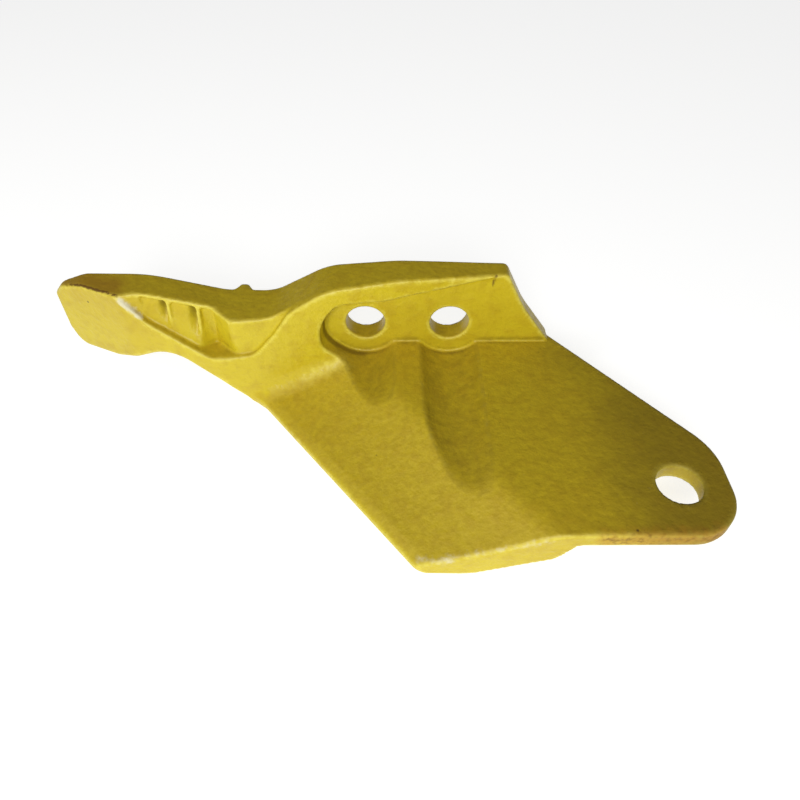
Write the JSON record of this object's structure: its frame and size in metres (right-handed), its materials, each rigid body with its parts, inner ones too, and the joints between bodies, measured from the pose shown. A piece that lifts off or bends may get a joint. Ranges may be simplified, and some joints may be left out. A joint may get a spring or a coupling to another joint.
{
  "type": "excavator bucket side cutter tooth",
  "caption": "One-piece cast side cutter tooth for the corner of an excavator bucket, with a lip flange, a side plate wing, a flared blade and a chisel tooth.",
  "frame": {"origin": "midway between the two lip bolt holes, on the flange's outer face that seats on the bucket lip", "axes": "+X runs from the tooth back along the lip, +Y out of the bucket through the lip, and +Z along the lip towards the bucket's middle, away from the side plate"},
  "size_m": [0.338, 0.144, 0.0793],
  "materials": {
    "yellow_paint": "semi-gloss yellow enamel sprayed on an as-cast steel skin"
  },
  "bodies": {
    "root": {"cutter_casting": "yellow_paint"}
  },
  "joints": []
}
